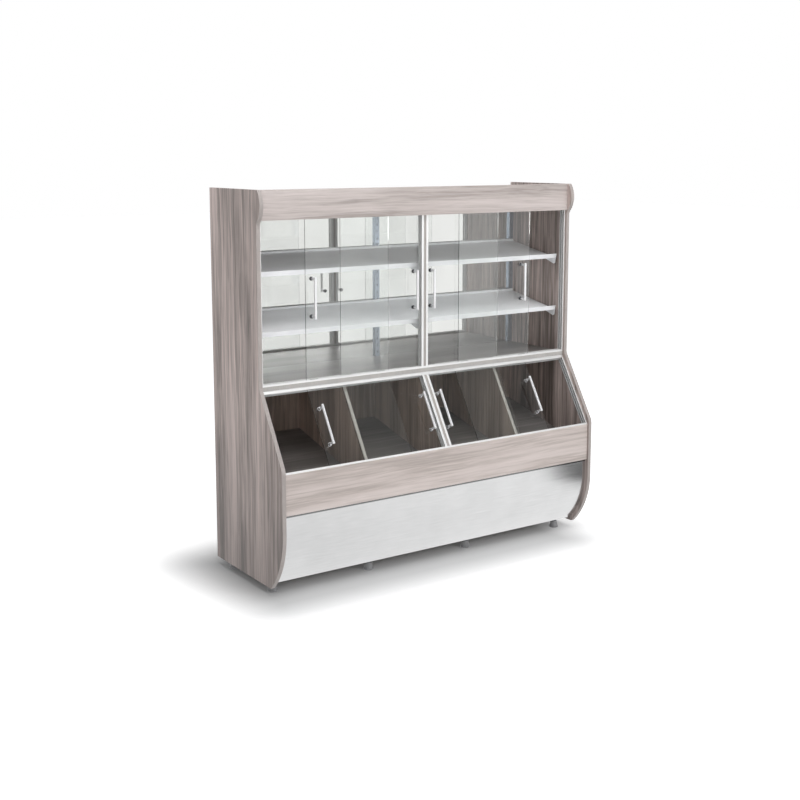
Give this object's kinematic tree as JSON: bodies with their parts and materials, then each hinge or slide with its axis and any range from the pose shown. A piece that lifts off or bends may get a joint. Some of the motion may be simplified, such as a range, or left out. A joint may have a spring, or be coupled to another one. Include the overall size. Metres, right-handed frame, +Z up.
{
  "type": "bread cabinet",
  "caption": "Bakery bread cabinet with shaped side panels, mirrored display shelves behind sliding glass doors and sloping glazed bread bins below.",
  "frame": {"origin": "on the floor at the middle of the footprint", "axes": "+X to the right as seen from the front, +Y to the rear, -Y to the front, +Z up"},
  "size_m": [1.76, 0.636, 1.75],
  "materials": {
    "laminate": "taupe wood-grain laminate, satin",
    "laminate_pale": "pale wood-grain laminate, horizontal grain, satin",
    "edge_band": "pale edge banding, satin",
    "batten": "raw softwood battens",
    "mirror": "silvered mirror",
    "kick_metal": "satin sheet",
    "shelf_white": "white powder-coated sheet",
    "zinc": "zinc-plated steel",
    "foot_plastic": "grey moulded plastic",
    "aluminium": "satin anodised profile",
    "door_glass": "clear float glass, polished edges",
    "handle_metal": "satin bar",
    "nylon": "dark moulded nylon"
  },
  "bodies": {
    "cabinet": {"left_side_panel": "laminate", "right_side_panel": "laminate", "panel_edge_bands": "edge_band", "top_board": "laminate", "header_board": "laminate_pale", "rear_board": "laminate", "back_mirror": "mirror", "deck_board": "laminate", "deck_edge_cap": "laminate_pale", "transom_rail": "aluminium", "left_divider": "laminate", "centre_divider": "laminate", "right_divider": "laminate", "divider_edge_trims": "edge_band", "bin_floor": "laminate", "bin_floor_cleats": "batten", "lower_front_board": "laminate_pale", "front_support_rail": "batten", "kick_sheet": "kick_metal", "base_board": "laminate", "shelf_standards": "zinc", "upper_shelf": "shelf_white", "middle_shelf": "shelf_white", "upper_shelf_brackets": "shelf_white", "middle_shelf_brackets": "shelf_white", "upper_top_track": "aluminium", "upper_bottom_track": "aluminium", "upper_jambs": "aluminium", "upper_mullion": "aluminium", "lower_top_track": "aluminium", "lower_bottom_track": "aluminium", "lower_jambs": "aluminium", "lower_mullion": "aluminium", "levelling_feet": "foot_plastic", "foot_plates": "zinc", "rear_screws": "zinc"},
    "upper_left_outer_door": {"upper_left_outer_glass": "door_glass", "upper_left_outer_handle": "handle_metal", "upper_left_outer_shoes": "nylon"},
    "upper_left_inner_door": {"upper_left_inner_glass": "door_glass", "upper_left_inner_handle": "handle_metal", "upper_left_inner_shoes": "nylon"},
    "upper_right_inner_door": {"upper_right_inner_glass": "door_glass", "upper_right_inner_handle": "handle_metal", "upper_right_inner_shoes": "nylon"},
    "upper_right_outer_door": {"upper_right_outer_glass": "door_glass", "upper_right_outer_handle": "handle_metal", "upper_right_outer_shoes": "nylon"},
    "lower_left_outer_door": {"lower_left_outer_glass": "door_glass", "lower_left_outer_handle": "handle_metal", "lower_left_outer_shoes": "nylon"},
    "lower_left_inner_door": {"lower_left_inner_glass": "door_glass", "lower_left_inner_handle": "handle_metal", "lower_left_inner_shoes": "nylon"},
    "lower_right_inner_door": {"lower_right_inner_glass": "door_glass", "lower_right_inner_handle": "handle_metal", "lower_right_inner_shoes": "nylon"},
    "lower_right_outer_door": {"lower_right_outer_glass": "door_glass", "lower_right_outer_handle": "handle_metal", "lower_right_outer_shoes": "nylon"}
  },
  "joints": [
    {"name": "upper_left_outer_slide", "type": "slide", "parent": "cabinet", "child": "upper_left_outer_door", "axis": [-1, 0, 0], "range_m": [-0.134, 0.223]},
    {"name": "upper_left_inner_slide", "type": "slide", "parent": "cabinet", "child": "upper_left_inner_door", "axis": [-1, 0, 0], "range_m": [0, 0.134]},
    {"name": "upper_right_inner_slide", "type": "slide", "parent": "cabinet", "child": "upper_right_inner_door", "axis": [1, 0, 0], "range_m": [0, 0.144]},
    {"name": "upper_right_outer_slide", "type": "slide", "parent": "cabinet", "child": "upper_right_outer_door", "axis": [1, 0, 0], "range_m": [-0.144, 0.223]},
    {"name": "lower_left_outer_slide", "type": "slide", "parent": "cabinet", "child": "lower_left_outer_door", "axis": [-1, 0, 0], "range_m": [-0.136, 0.223]},
    {"name": "lower_left_inner_slide", "type": "slide", "parent": "cabinet", "child": "lower_left_inner_door", "axis": [-1, 0, 0], "range_m": [0, 0.136]},
    {"name": "lower_right_inner_slide", "type": "slide", "parent": "cabinet", "child": "lower_right_inner_door", "axis": [1, 0, 0], "range_m": [0, 0.122]},
    {"name": "lower_right_outer_slide", "type": "slide", "parent": "cabinet", "child": "lower_right_outer_door", "axis": [1, 0, 0], "range_m": [-0.122, 0.245]}
  ]
}
